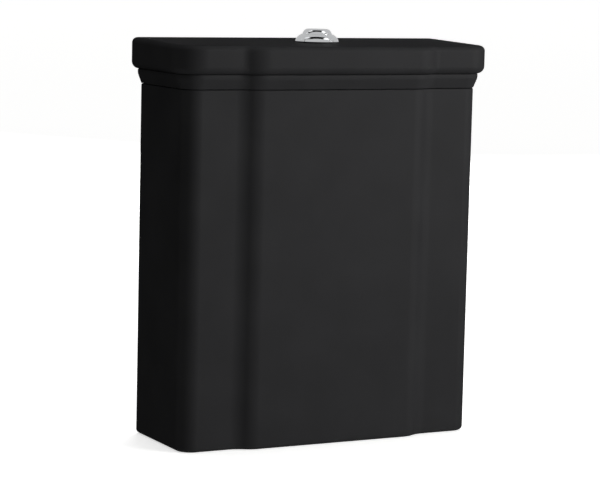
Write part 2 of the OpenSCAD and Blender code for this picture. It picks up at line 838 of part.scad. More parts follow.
module head_columns() {
    fork_w = rocker_w + 2 * slide_play;
    color([0.25, 0.45, 0.7])
        for (s = [-1, 1])
            translate([s * pivot_x, 0, 0])
                difference() {
                    translate([-column_w / 2, -column_d / 2, cap_z])
                        cube([column_w, column_d, bridge_z - cap_z]);
                    translate([-column_w, -fork_w / 2, pivot_z - fork_h / 2])
                        cube([2 * column_w, fork_w, fork_h]);
                    translate([0, 0, pivot_z])
                        cross_bar(pin_d + 2 * pin_play, column_d + 2 * cut);
                }
}

module head_bridge() {
    bore = guide_d + 2 * slide_play;
    span = 2 * pivot_x + column_w;
    color([0.25, 0.45, 0.7])
        difference() {
            union() {
                translate([-span / 2, -column_d / 2, bridge_z])
                    cube([span, column_d, bridge_t]);
                translate([0, 0, bridge_z])
                    cylinder(d = bore + 2 * guide_wall, h = guide_h);
            }
            translate([0, 0, bridge_z - cut])
                cylinder(d = bore, h = guide_h + 2 * cut);
        }
}

module plunger() {
    span = 2 * leg_x + leg_w;
    color([0.85, 0.3, 0.12]) {
        translate([-span / 2, -bar_d / 2, bar_z])
            cube([span, bar_d, bar_h]);
        for (s = [-1, 1])
            translate([s * leg_x - leg_w / 2, -leg_d / 2, leg_end])
                cube([leg_w, leg_d, bar_z + cut - leg_end]);
        translate([0, 0, bar_z + bar_h - cut])
            cylinder(d = plunger_d, h = plunger_h + cut);
        translate([0, 0, bridge_z + bridge_t])
            cylinder(d = guide_d, h = bar_z + cut - bridge_z - bridge_t);
    }
}

// One rocker with its pivot at the origin and its outer arm along +X.
module rocker() {
    rotate([90, 0, 0])
        translate([0, 0, -rocker_w / 2])
            linear_extrude(rocker_w)
                difference() {
                    union() {
                        circle(d = hub_d);
                        translate([arm_out, 0])
                            circle(r = pad_r);
                        translate([-arm_in, 0])
                            circle(r = pad_r);
                        polygon([[-arm_in, -arm_tip / 2], [0, -arm_root / 2], [arm_out, -arm_tip / 2],
                            [arm_out, arm_tip / 2], [0, arm_root / 2], [-arm_in, arm_tip / 2]]);
                    }
                    circle(d = pin_d + 2 * pin_play);
                }
}

module rocker_left() {
    color([0.85, 0.3, 0.12])
        translate([-pivot_x, 0, pivot_z])
            mirror([1, 0, 0])
                rocker();
}

module rocker_right() {
    color([0.85, 0.3, 0.12])
        translate([pivot_x, 0, pivot_z])
            rocker();
}

module rocker_pins() {
    color([0.75, 0.76, 0.78])
        for (s = [-1, 1])
            translate([s * pivot_x, 0, pivot_z])
                cross_bar(pin_d, column_d);
}

module fill_shank() {
    color([0.92, 0.92, 0.9])
        at_inlet()
            rotate_extrude()
                polygon([[water_bore / 2, supply_end], [supply_r - chamfer, supply_end],
                    [supply_r, supply_end + chamfer], [supply_r, supply_end + supply_l],
                    [inlet_r - chamfer, supply_end + supply_l],
                    [inlet_r, supply_end + supply_l + chamfer], [inlet_r, seat_z],
                    [inlet_flange_d / 2, seat_z], [inlet_flange_d / 2, seat_z + inlet_flange_t],
                    [riser_r + root_r, seat_z + inlet_flange_t],
                    [riser_r, seat_z + inlet_flange_t + 3 * root_r], [riser_r, float_z - stop_h],
                    [riser_r + stop_w, float_z - stop_h], [riser_r + stop_w, float_z],
                    [riser_r, float_z], [riser_r, head_z], [water_bore / 2, head_z]]);
}

module inlet_filter() {
    color([0.3, 0.55, 0.75])
        at_inlet()
            rotate_extrude()
                polygon([[water_bore / 2 - filter_t, supply_end - chamfer],
                    [supply_r - 2 * chamfer, supply_end - chamfer], [supply_r - 2 * chamfer, supply_end],
                    [water_bore / 2 - thread_play, supply_end],
                    [water_bore / 2 - chamfer, supply_end + filter_l],
                    [water_bore / 2 - filter_t, supply_end + filter_l]]);
}

module inlet_gasket() {
    color([0.1, 0.1, 0.1])
        at_inlet()
            ring(inlet_r + thread_play, inlet_flange_d / 2 + gasket_t / 3, floor_top, gasket_t);
}

module inlet_nut() {
    color([0.9, 0.9, 0.88])
        at_inlet()
            difference() {
                union() {
                    translate([0, 0, skirt_h - inlet_nut_h])
                        cylinder(d = inlet_nut_d, h = inlet_nut_h, $fn = 6);
                    translate([0, 0, skirt_h - inlet_nut_h / 5])
                        cylinder(d = inlet_nut_d + gasket_t, h = inlet_nut_h / 5);
                }
                translate([0, 0, skirt_h - inlet_nut_h - cut])
                    cylinder(r = inlet_r + thread_play, h = inlet_nut_h + 2 * cut);
            }
}

module valve_head() {
    color([0.92, 0.92, 0.9])
        at_inlet()
            difference() {
                union() {
                    translate([0, 0, head_z])
                        cylinder(r = head_r, h = head_h);
                    translate([-lever_back - ear_w / 2, -ear_y, spout_top])
                        cube([lever_back + ear_w / 2 - head_r / 2, 2 * ear_y, bracket_h]);
                    for (y = [-ear_y, ear_y - ear_t])
                        translate([-lever_back - ear_w / 2, y, spout_top])
                            cube([ear_w, ear_t, lever_z + ear_w / 2 - spout_top]);
                    translate([-spout_r - spout_wall, 0, spout_top])
                        cube([spout_d + 2 * spout_wall, spout_y + spout_r, spout_arm]);
                }
                translate([0, 0, head_z + root_r])
                    cylinder(r = head_r - head_wall, h = head_h);
                translate([0, 0, head_z - cut])
                    cylinder(d = water_bore, h = head_h);
                translate([0, spout_y / 2 + head_r / 4, spout_top + spout_arm / 2])
                    cross_bar(2 * spout_in, spout_y - head_r / 2);
                translate([0, spout_y, spout_top - cut])
                    cylinder(r = spout_in, h = spout_arm / 2 + cut);
                translate([-lever_back, 0, lever_z])
                    cross_bar(pin_d + 2 * pin_play, 2 * ear_y + 2 * cut);
            }
}

module diaphragm() {
    color([0.1, 0.1, 0.1])
        at_inlet()
            translate([0, 0, diaphragm_z])
                cylinder(r = head_r - chamfer, h = diaphragm_t);
}

module screw_cap() {
    z = diaphragm_z - screw_skirt;
    height = screw_cap_z + screw_cap_h - z;
    color([0.25, 0.45, 0.7])
        at_inlet()
            difference() {
                union() {
                    translate([0, 0, z])
                        cylinder(r = screw_cap_r, h = height);
                    for (i = [0:rib_n - 1])
                        rotate([0, 0, 360 * i / rib_n])
                            translate([screw_cap_r - knurl_w / 2, -knurl_w / 2, z + cut])
                                cube([knurl_w / 2 + knurl_out, knurl_w, height - 3 * cut]);
                }
                translate([0, 0, z - cut])
                    cylinder(r = head_r + thread_play, h = screw_skirt + diaphragm_t + cut);
            }
}

module outlet_spout() {
    color([0.92, 0.92, 0.9])
        at_inlet()
            translate([0, spout_y, 0])
                ring(spout_in, spout_r, floor_top + spout_foot, spout_top - floor_top - spout_foot);
}

module fill_lever() {
    reach = link_x - lever_x;
    hole_d = link_d + 2 * link_play;
    color([0.85, 0.3, 0.12])
        translate([lever_x, 0, lever_z])
            difference() {
                union() {
                    cross_bar(lever_hub_d, lever_w);
                    translate([0, -lever_w / 2, -lever_t / 2])
                        cube([reach, lever_w, lever_t]);
                    translate([reach, 0, -lever_t / 2])
                        cylinder(d = eye_d, h = lever_t);
                }
                cross_bar(pin_d + 2 * pin_play, lever_w + 2 * cut);
                translate([reach - eye_slot / 2, -hole_d / 2, -lever_t])
                    cube([eye_slot, hole_d, 2 * lever_t]);
                for (s = [-1, 1])
                    translate([reach + s * eye_slot / 2, 0, -lever_t])
                        cylinder(d = hole_d, h = 2 * lever_t);
            }
}

module lever_pin() {
    color([0.75, 0.76, 0.78])
        translate([lever_x, 0, lever_z])
            cross_bar(pin_d, 2 * ear_y);
}

module float_cup() {
    color([0.18, 0.18, 0.2])
        at_inlet() {
            rotate_extrude()
                polygon([[float_in, float_z], [float_r - float_chamfer, float_z],
                    [float_r, float_z + float_chamfer], [float_r, float_z + float_h - float_chamfer],
                    [float_r - float_chamfer, float_z + float_h], [float_in, float_z + float_h]]);
            translate([float_r - lug / 2, -lug / 2, lug_top - lug])
                cube([1.5 * lug, lug, lug]);
        }
}

module float_link() {
    stop_lo = lever_z - lever_t / 2 - link_gap - link_stop_h;
    stop_hi = lever_z + lever_t / 2 + link_gap;
    color([0.9, 0.9, 0.87])
        translate([link_x, 0, 0]) {
            translate([0, 0, lug_top])
                cylinder(d = lug - 2 * chamfer, h = link_stop_h);
            translate([0, 0, lug_top])
                cylinder(d = link_d, h = stop_hi + link_stop_h + link_over - lug_top);
            translate([0, 0, stop_lo])
                cylinder(d = link_stop_d, h = link_stop_h);
            translate([0, 0, stop_hi])
                cylinder(d = link_stop_d, h = link_stop_h);
        }
}

tank();
lid();
lid_buffers();
button_collar();
collar_gasket();
nut_washer();
button_nut();
push_button();
button_spring();
push_rod();
outlet_seat();
seat_gasket();
outlet_nut();
coupling_washer();
valve_basket();
valve_cap();
lift_tube();
seal_disc();
clamp_disc();
seal_retainer();
flush_float();
lift_ring();
head_columns();
head_bridge();
plunger();
rocker_left();
rocker_right();
rocker_pins();
fill_shank();
inlet_filter();
inlet_gasket();
inlet_nut();
valve_head();
diaphragm();
screw_cap();
outlet_spout();
fill_lever();
lever_pin();
float_cup();
float_link();
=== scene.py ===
# %% [markdown]
# # A black toilet cistern
# The cistern is a cast ceramic tank with a loose ceramic lid. The front of the tank steps forward in
# the middle, and the lid repeats that outline with a cornice. One chrome button sits on the lid. The
# solid model already holds every piece in its place, so this lesson only gives the pieces their finish
# and remakes the ones whose curves, threads or coils need a finer mesh.

import json
import math

import bmesh
import bpy
from mathutils import Matrix, Vector


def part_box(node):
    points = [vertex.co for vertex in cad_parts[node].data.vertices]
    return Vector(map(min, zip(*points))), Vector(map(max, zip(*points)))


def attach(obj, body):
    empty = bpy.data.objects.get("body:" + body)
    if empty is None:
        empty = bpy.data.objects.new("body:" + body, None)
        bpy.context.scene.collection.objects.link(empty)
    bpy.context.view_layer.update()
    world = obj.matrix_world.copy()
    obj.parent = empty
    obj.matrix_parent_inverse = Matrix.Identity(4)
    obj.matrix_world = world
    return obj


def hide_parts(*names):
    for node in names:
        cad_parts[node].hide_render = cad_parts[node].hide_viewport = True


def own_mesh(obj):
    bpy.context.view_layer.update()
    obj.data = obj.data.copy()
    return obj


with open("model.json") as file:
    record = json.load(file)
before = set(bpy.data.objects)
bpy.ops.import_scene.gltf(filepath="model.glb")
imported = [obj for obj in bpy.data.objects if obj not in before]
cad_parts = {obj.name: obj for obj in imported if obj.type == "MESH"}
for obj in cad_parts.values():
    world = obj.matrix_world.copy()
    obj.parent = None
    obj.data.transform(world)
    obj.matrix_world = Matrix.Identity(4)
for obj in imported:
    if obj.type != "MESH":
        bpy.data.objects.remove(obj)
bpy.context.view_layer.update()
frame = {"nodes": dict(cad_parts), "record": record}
nodes = frame["nodes"]

# %% [markdown]
# ## Sizes
# The pieces that are remade must lie where their solids are. The plan of the ceramic can't be read from a
# box, so its few sizes are repeated here in millimetres, and everything else is measured on the solids.
# Glaze flows round what is sharp, so the ogee of the front and the underside of the cornice are drawn
# about 1 mm softer than the solids have them. The scene itself is in metres.

# %% Sizes of the ceramic
MM = 0.001
# The tank's outside, its walls and the two faces of its floor
tank_w, tank_d, tank_h = 368.0, 128.0, 400.0
wall = 11.0
floor_lo, floor_hi = 48.0, 60.0
# Its front and back corners in plan
corner_r, back_r = 19.0, 4.0
# How far the middle panel stands out, and the middle and width of each ogee
front_step, step_x, step_w = 9.0, 109.0, 32.0
# The lid's underside, top and ceiling, how far it overhangs, and the fall of its top to the front
lid_z, lid_top, ceiling = 401.5, 450.0, 438.0
overhang, lid_fall = 12.3, 4.0
half = tank_w / 2
back_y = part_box("tank")[1].y / MM
flank_y = back_y - tank_d
panel_y = flank_y - front_step
total_d = tank_d + front_step + overhang
ogee_r = (step_w ** 2 + front_step ** 2) / (4 * front_step)
ogee_a = math.asin(step_w / (2 * ogee_r))
print("back at", round(back_y, 2), "panel at", round(panel_y, 2), "ogee radius", round(ogee_r, 2))

# %% [markdown]
# ## Colour
# Colours are given as sRGB values. The shader works in linear light, so one function turns the
# hex value of a colour into linear red, green and blue.


# %% From sRGB to linear
def linear(code):
    parts = [int(code[i:i + 2], 16) / 255 for i in (1, 3, 5)]
    return [c / 12.92 if c <= 0.04045 else ((c + 0.055) / 1.055) ** 2.4 for c in parts] + [1.0]


print("mid grey in linear light:", [round(c, 3) for c in linear("#808080")])

# %% [markdown]
# ## Building a material
# A material is a small tree of nodes. One helper adds a node, sets it and links it, which keeps each
# recipe short. A second one starts a material and hands back its tree and its surface shader.


# %% Helpers for materials
def add(tree, kind, links=(), **settings):
    node = tree.nodes.new(kind)
    for name, value in settings.items():
        setattr(node, name, value)
    for socket, value in dict(links).items():
        if isinstance(value, bpy.types.NodeSocket):
            tree.links.new(value, node.inputs[socket])
        else:
            node.inputs[socket].default_value = value
    return node


def start(name, **sockets):
    material = bpy.data.materials.new(name)
    material.use_nodes = True
    tree = material.node_tree
    shader = tree.nodes["Principled BSDF"]
    for socket, value in sockets.items():
        shader.inputs[socket.replace("_", " ")].default_value = value
    return material, tree, shader


print("helpers ready")

# %% [markdown]
# ## Satin black glaze
# The outside is a black glaze, sprayed on vitreous china and fired to a satin surface. It gives the eye
# soft, wide sheens and no sharp highlight. The glaze lies a little thicker here and thinner there, so
# its tone and gloss drift over some 60 mm, and a faint orange peel of about 2 mm breaks the sheen. A
# plain black shader would look like plastic foil, so these three patterns are layered.

# %% Satin black glaze
glaze, t, surface = start("satin_black_glaze", IOR=1.52, Specular_IOR_Level=0.08)
at = add(t, "ShaderNodeTexCoord").outputs["Object"]
drift = add(t, "ShaderNodeTexNoise", {"Vector": at, "Scale": 1 / 0.06, "Detail": 3.0}).outputs["Fac"]
peel = add(t, "ShaderNodeTexNoise", {"Vector": at, "Scale": 1 / 0.002, "Detail": 2.0}).outputs["Fac"]
tone = add(t, "ShaderNodeValToRGB", {"Fac": drift})
tone.color_ramp.elements[0].color = linear("#252526")
tone.color_ramp.elements[0].position = 0.3
tone.color_ramp.elements[1].color = linear("#29292A")
tone.color_ramp.elements[1].position = 0.7
gloss = add(t, "ShaderNodeMapRange", {"Value": drift, "To Min": 0.58, "To Max": 0.66})
skin_bump = add(t, "ShaderNodeBump", {"Height": peel, "Strength": 0.04, "Distance": 0.0004})
t.links.new(tone.outputs["Color"], surface.inputs["Base Color"])
t.links.new(gloss.outputs["Result"], surface.inputs["Roughness"])
t.links.new(skin_bump.outputs["Normal"], surface.inputs["Normal"])
print("made", glaze.name)

# %% [markdown]
# ## Fired china without glaze
# The foot, the underside and the inside are bare vitreous china: off-white, dull and slightly gritty.
# From a hand's breadth below the rim upwards, the clay inside the tank and under the lid is painted black
# with a cloudy edge: painted shade that keeps the joint between tank and lid dark. One material with a
# height blend shows both.

# %% Bare vitreous china with painted shade near the joint
china, t, surface = start("bare_vitreous_china", IOR=1.5, Specular_IOR_Level=0.35)
at = add(t, "ShaderNodeTexCoord").outputs["Object"]
height = add(t, "ShaderNodeSeparateXYZ", {"Vector": at}).outputs["Z"]
cloud = add(t, "ShaderNodeTexNoise", {"Vector": at, "Scale": 1 / 0.03, "Detail": 5.0}).outputs["Fac"]
speck = add(t, "ShaderNodeTexNoise", {"Vector": at, "Scale": 1 / 0.0015, "Detail": 2.0}).outputs["Fac"]
# Painted shade: black from a hand's breadth below the rim upwards, with a cloudy edge, darkens the inside
# of the joint
shade_edge_height = add(t, "ShaderNodeMath", {0: cloud, 1: 0.09, 2: height}, operation="MULTIPLY_ADD").outputs[0]
painted_joint_shade = add(t, "ShaderNodeMapRange", {"Value": shade_edge_height, "From Min": 0.365, "From Max": 0.43})
clay = add(t, "ShaderNodeValToRGB", {"Fac": cloud})
clay.color_ramp.elements[0].color = linear("#C9C4B8")
clay.color_ramp.elements[1].color = linear("#DEDACF")
clay_with_painted_shade = add(t, "ShaderNodeMix", {"Factor": painted_joint_shade.outputs["Result"], "A": clay.outputs["Color"],
                                "B": linear("#262627")}, data_type="RGBA")
grit = add(t, "ShaderNodeBump", {"Height": speck, "Strength": 0.12, "Distance": 0.0004})
dull = add(t, "ShaderNodeMapRange", {"Value": painted_joint_shade.outputs["Result"], "To Min": 0.78, "To Max": 0.5})
t.links.new(clay_with_painted_shade.outputs["Result"], surface.inputs["Base Color"])
t.links.new(dull.outputs["Result"], surface.inputs["Roughness"])
t.links.new(grit.outputs["Normal"], surface.inputs["Normal"])
print("made", china.name)

# %% [markdown]
# ## Chrome on ABS
# The button and its collar are moulded in ABS and chrome plated. Chrome is a cold, bright mirror with
# faint wipe marks, a few hundredths of a millimetre wide. Such marks are too fine to show, so they are
# drawn about 0.4 mm wide, and only in the roughness.

# %% Chrome plate
chrome, t, surface = start("chrome_plated_abs", Base_Color=linear("#E4E6E8"), Metallic=1.0)
at = add(t, "ShaderNodeTexCoord").outputs["Object"]
stretch = add(t, "ShaderNodeMapping", {"Vector": at, "Scale": (1.0, 1.0, 0.15)}).outputs["Vector"]
wipes = add(t, "ShaderNodeTexNoise", {"Vector": stretch, "Scale": 1 / 0.0004, "Detail": 2.0}).outputs["Fac"]
shine = add(t, "ShaderNodeMapRange", {"Value": wipes, "To Min": 0.04, "To Max": 0.1})
t.links.new(shine.outputs["Result"], surface.inputs["Roughness"])
print("made", chrome.name)

# %% [markdown]
# ## Moulded plastics
# Valve parts are injection moulded: polypropylene for the white and blue ones, acetal for the orange
# ones that slide, polystyrene for the grey floats. The mould is spark eroded to a fine grain of about
# 0.3 mm, drawn here at 0.8 mm so that it shows, and the melt leaves slow, faint clouds in the colour.
# They share one recipe, and only colour and gloss differ.


# %% Moulded plastics
def moulded(name, dark, light, rough):
    material, t, surface = start(name, IOR=1.49)
    at = add(t, "ShaderNodeTexCoord").outputs["Object"]
    melt = add(t, "ShaderNodeTexNoise", {"Vector": at, "Scale": 1 / 0.025, "Detail": 3.0}).outputs["Fac"]
    grain = add(t, "ShaderNodeTexNoise", {"Vector": at, "Scale": 1 / 0.0008, "Detail": 1.0}).outputs["Fac"]
    colour = add(t, "ShaderNodeValToRGB", {"Fac": melt})
    colour.color_ramp.elements[0].color = linear(dark)
    colour.color_ramp.elements[1].color = linear(light)
    matt = add(t, "ShaderNodeMapRange", {"Value": grain, "To Min": rough - 0.07, "To Max": rough + 0.07})
    texture = add(t, "ShaderNodeBump", {"Height": grain, "Strength": 0.15, "Distance": 0.0002})
    t.links.new(colour.outputs["Color"], surface.inputs["Base Color"])
    t.links.new(matt.outputs["Result"], surface.inputs["Roughness"])
    t.links.new(texture.outputs["Normal"], surface.inputs["Normal"])
    return material


white_pp = moulded("moulded_white_polypropylene", "#D9D8D0", "#E8E7E1", 0.42)
blue_pp = moulded("moulded_blue_polypropylene", "#2B5488", "#38669E", 0.4)
orange_pom = moulded("moulded_orange_acetal", "#C0501F", "#D2622B", 0.32)
grey_ps = moulded("moulded_grey_polystyrene", "#5B5D60", "#6C6E71", 0.5)
print("made", white_pp.name, blue_pp.name, orange_pom.name, grey_ps.name)

# %% [markdown]
# ## Rubber, foam and silicone
# Gaskets are die cut from black EPDM sheet: matt, with a fine talc bloom. The big coupling ring is
# closed-cell foam, whose cut cells of about 1 mm catch the light as small pits. The sealing disc is
# moulded red silicone, smoother and slightly translucent. Foam needs round pits, so it uses cells
# instead of noise.

# %% EPDM and silicone
epdm, t, surface = start("die_cut_epdm_rubber", IOR=1.5, Specular_IOR_Level=0.3)
at = add(t, "ShaderNodeTexCoord").outputs["Object"]
talc = add(t, "ShaderNodeTexNoise", {"Vector": at, "Scale": 1 / 0.006, "Detail": 6.0}).outputs["Fac"]
bloom = add(t, "ShaderNodeValToRGB", {"Fac": talc})
bloom.color_ramp.elements[0].color = linear("#1B1B1B")
bloom.color_ramp.elements[1].color = linear("#333333")
nap = add(t, "ShaderNodeBump", {"Height": talc, "Strength": 0.2, "Distance": 0.0003})
surface.inputs["Roughness"].default_value = 0.8
t.links.new(bloom.outputs["Color"], surface.inputs["Base Color"])
t.links.new(nap.outputs["Normal"], surface.inputs["Normal"])

silicone, t, surface = start("moulded_red_silicone", IOR=1.41, Roughness=0.5, Subsurface_Weight=0.15,
                             Subsurface_Radius=(0.004, 0.0015, 0.001))
at = add(t, "ShaderNodeTexCoord").outputs["Object"]
flow = add(t, "ShaderNodeTexNoise", {"Vector": at, "Scale": 1 / 0.012, "Detail": 4.0}).outputs["Fac"]
red = add(t, "ShaderNodeValToRGB", {"Fac": flow})
red.color_ramp.elements[0].color = linear("#7A2A22")
red.color_ramp.elements[1].color = linear("#8F3A30")
t.links.new(red.outputs["Color"], surface.inputs["Base Color"])
print("made", epdm.name, silicone.name)

# %% Closed-cell foam
foam, t, surface = start("closed_cell_foam", IOR=1.5, Roughness=0.9, Specular_IOR_Level=0.2)
at = add(t, "ShaderNodeTexCoord").outputs["Object"]
cells = add(t, "ShaderNodeTexVoronoi", {"Vector": at, "Scale": 1 / 0.0012}).outputs["Distance"]
# Painted shade: the colour follows the pits and is darker in each pit of a cut cell
pit_shade = add(t, "ShaderNodeValToRGB", {"Fac": cells})
pit_shade.color_ramp.elements[0].color = linear("#1C1C1E")
pit_shade.color_ramp.elements[1].color = linear("#3A3A3D")
pits = add(t, "ShaderNodeBump", {"Height": cells, "Strength": 0.5, "Distance": 0.0006})
t.links.new(pit_shade.outputs["Color"], surface.inputs["Base Color"])
t.links.new(pits.outputs["Normal"], surface.inputs["Normal"])
print("made", foam.name)

# %% [markdown]
# ## Drawn stainless wire
# The return spring and the pivot pins are drawn stainless steel. Drawing leaves fine lines along the
# wire, so the highlight is soft across it. The lines are drawn 0.3 mm apart.

# %% Drawn stainless steel
steel, t, surface = start("drawn_stainless_steel", Base_Color=linear("#C3C4C6"), Metallic=1.0)
at = add(t, "ShaderNodeTexCoord").outputs["Object"]
lines = add(t, "ShaderNodeTexNoise", {"Vector": at, "Scale": 1 / 0.0003, "Detail": 2.0}).outputs["Fac"]
sheen = add(t, "ShaderNodeMapRange", {"Value": lines, "To Min": 0.24, "To Max": 0.38})
t.links.new(sheen.outputs["Result"], surface.inputs["Roughness"])
print("made", steel.name)

# %% [markdown]
# ## Finishes on the solids
# The record names a finish for each solid. Here each name gets its material, and each solid its
# finish. The solids keep their own mesh.

# %% Dress the solids
finishes = {"black_glaze": glaze, "chrome": chrome, "black_rubber": epdm, "foam_rubber": foam,
            "red_silicone": silicone, "white_plastic": white_pp, "blue_plastic": blue_pp,
            "orange_plastic": orange_pom, "grey_plastic": grey_ps, "spring_steel": steel}
for part in frame["record"]["subparts"]:
    for place in nodes[part["node"]].material_slots:
        place.material = finishes[part["material_slot"]]
print("dressed", len(nodes), "solids with", len(finishes), "finishes")

# %% [markdown]
# ## The plan of the breakfront
# Seen from above, each half of the ceramic runs from a small back corner along the side, round a large
# front corner, and along the flank into an ogee: a hollow curve that turns into a bulging one. Growing
# the plan while every curve keeps its centre gives parallel outlines, which is how a template is run
# round a plaster model. Arcs are computed, because a bevel tool would not keep them parallel.


# %% Outline of the plan
def arc(cx, cy, r, a0, a1, steps):
    turns = [math.radians(a0 + (a1 - a0) * i / steps) for i in range(steps + 1)]
    return [(cx + r * math.cos(a), cy + r * math.sin(a)) for a in turns]


def plan(grow, back):
    bend = math.degrees(ogee_a)
    bulge, bend_r = max(ogee_r + grow, 0.5), max(corner_r + grow, 0.5)
    right = arc(half + grow - back_r, back - back_r, back_r, 90, 0, 5)
    right += arc(half + grow - bend_r, flank_y - grow + bend_r, bend_r, 0, -90, 20)
    right += arc(step_x + step_w / 2, flank_y - ogee_r, ogee_r - grow, 90, 90 + bend, 12)
    right += arc(step_x - step_w / 2, panel_y + ogee_r, bulge, bend - 90, -90, 12)[1:]
    return right + [(-x, y) for x, y in reversed(right)]


print("points round the plan:", len(plan(0, back_y)))

# %% [markdown]
# ## Skins from rings
# A cast piece is one closed skin. It is built as a stack of parallel outlines that goes up the outside,
# over the rim and down the inside, and both ends are closed with one flat face. Each band of faces can
# have its own material, which is how glaze and bare china meet at a sharp line. One helper makes every
# mesh and turns its faces outwards, and another sets the finished piece on its body.


# %% Build a skin
WELD = 1e-7


def smooth(mesh, angle=35):
    mesh.shade_smooth()
    mesh.set_sharp_from_angle(angle=math.radians(angle))


def mesh_of(name, points, faces, *materials, weld=False):
    mesh = bpy.data.meshes.new(name)
    mesh.from_pydata(points, [], faces)
    for material in materials:
        mesh.materials.append(material)
    b = bmesh.new()
    b.from_mesh(mesh)
    if weld:
        bmesh.ops.remove_doubles(b, verts=b.verts, dist=WELD)
        bmesh.ops.dissolve_degenerate(b, edges=b.edges, dist=WELD)
    bmesh.ops.recalc_face_normals(b, faces=b.faces)
    b.to_mesh(mesh)
    b.free()
    return mesh


def keep(mesh, name, body, slot, *replaced):
    piece = bpy.data.objects.new(name, mesh)
    bpy.context.scene.collection.objects.link(piece)
    even = piece.modifiers.new("even_shading", "WEIGHTED_NORMAL")
    even.keep_sharp = True
    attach(piece, body)
    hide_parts(*replaced)
    return piece


def skin(name, levels, tilt_from=math.inf):
    points = []
    for grow, back, z, _ in levels:
        fall = lid_fall / total_d if z >= tilt_from else 0.0
        points += [(x * MM, y * MM, (z + fall * y) * MM) for x, y in plan(grow, back)]
    n = len(points) // len(levels)
    faces, bands = [list(range(n))[::-1]], [levels[0][3]]
    for k in range(len(levels) - 1):
        for i in range(n):
            j = (i + 1) % n
            faces.append([k * n + i, k * n + j, (k + 1) * n + j, (k + 1) * n + i])
            bands.append(levels[k + 1][3])
    faces.append([(len(levels) - 1) * n + i for i in range(n)])
    bands.append(levels[-1][3])
    mesh = mesh_of(name, points, faces, glaze, china)
    mesh.polygons.foreach_set("material_index", bands)
    return mesh


print("skin builder ready")

# %% [markdown]
# ## Drilling
# Holes in the clay are punched before firing. A round cutter taken away from the skin does the same,
# and the exact solver keeps the rest of the mesh as it was. Added instead, the cutter makes a boss.


# %% Punch holes
def punch(mesh, holes, operation="DIFFERENCE"):
    work = bpy.data.objects.new("work", mesh)
    bpy.context.scene.collection.objects.link(work)
    for x, y, z, r, depth, turn in holes:
        r, depth, place = r * MM, depth * MM, Matrix.Translation(Vector((x, y, z)) * MM)
        b = bmesh.new()
        bmesh.ops.create_cone(b, cap_ends=True, segments=64, radius1=r, radius2=r, depth=depth)
        shape = bpy.data.meshes.new("cutter")
        b.to_mesh(shape)
        b.free()
        shape.transform(place @ Matrix.Rotation(math.radians(turn), 4, "X"))
        cutter = bpy.data.objects.new("cutter", shape)
        bpy.context.scene.collection.objects.link(cutter)
        cut = work.modifiers.new("hole", "BOOLEAN")
        cut.object, cut.operation, cut.solver = cutter, operation, "EXACT"
        seen = bpy.context.evaluated_depsgraph_get()
        work.data = bpy.data.meshes.new_from_object(work.evaluated_get(seen))
        work.modifiers.clear()
        bpy.data.objects.remove(cutter)
    done = work.data
    bpy.data.objects.remove(work)
    return done


print("punch ready")

# %% [markdown]
# ## The tank
# The tank is slip cast: a hollow foot, a floor, walls of one thickness and a rounded rim. The glaze
# covers the outside from the edge of the foot to the inner edge of the rim. The floor is punched for
# the outlet, the inlet and two bolts, and the back wall for two screws.

# %% Tank
GLAZE, CHINA = 0, 1
foot_r, foot_in, rim_r, cove_r = 5.0, 2.0, 1.5, 8.0
# The edges of the back draw in by this share of what the front does
back_share = 0.3
tank_levels = []
for g, z in [(0.0, floor_lo), (0.0, foot_in), (0.3 * foot_in, 0.3 * foot_in), (foot_in, 0.0)]:
    tank_levels.append((g - wall, back_y + g - wall, z, CHINA))
for g, z in arc(-foot_r, foot_r, foot_r, -90, 0, 10):
    tank_levels.append((g, back_y + back_share * g, z, GLAZE if z > 0 else CHINA))
for g, z in arc(-rim_r, tank_h - rim_r, rim_r, 0, 90, 8):
    tank_levels.append((g, back_y + back_share * g, z, GLAZE))
for g, z in arc(rim_r - wall, tank_h - rim_r, rim_r, 90, 180, 6):
    tank_levels.append((g, back_y + g, z, GLAZE))
for g, z in arc(-wall - cove_r, floor_hi + cove_r, cove_r, 0, -90, 8):
    tank_levels.append((g, back_y + g, z, CHINA))
tank_mesh = skin("tank_ceramic", tank_levels)
print("tank faces:", len(tank_mesh.polygons))

# %% Holes of the tank
outlet_hole, inlet_hole, bolt_hole, screw_hole, through = 31.0, 11.2, 5.5, 4.0, 16.0
bolt_x, screw_x, screw_y, screw_z = 75.0, 110.0, back_y - wall / 2, 364.0
inlet_x = (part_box("fill_shank")[0].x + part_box("fill_shank")[1].x) / 2 / MM
floor_mid = (floor_lo + floor_hi) / 2
holes = [(0, 0, floor_mid, outlet_hole, through, 0), (inlet_x, 0, floor_mid, inlet_hole, through, 0)]
holes += [(side * bolt_x, 0, floor_mid, bolt_hole, through, 0) for side in (-1, 1)]
holes += [(side * screw_x, screw_y, screw_z, screw_hole, through, 90) for side in (-1, 1)]
tank_mesh = punch(tank_mesh, holes)
smooth(tank_mesh)
keep(tank_mesh, "tank_ceramic", "tank", "black_glaze", "tank")
print("holes:", len(holes), "tank faces:", len(tank_mesh.polygons))

# %% [markdown]
# ## The lid
# From the joint upwards the cornice has a bevel, a short fillet, a shadow quirk, a half-round
# underside, a flat band and a rounded top edge. A lip under the lid keeps it centred in the tank. The
# top falls a little towards the front, so that water runs off, and the button gets a level seat. The
# rubber pads are let into the underside by 1 mm, so that only a hair joint shows.

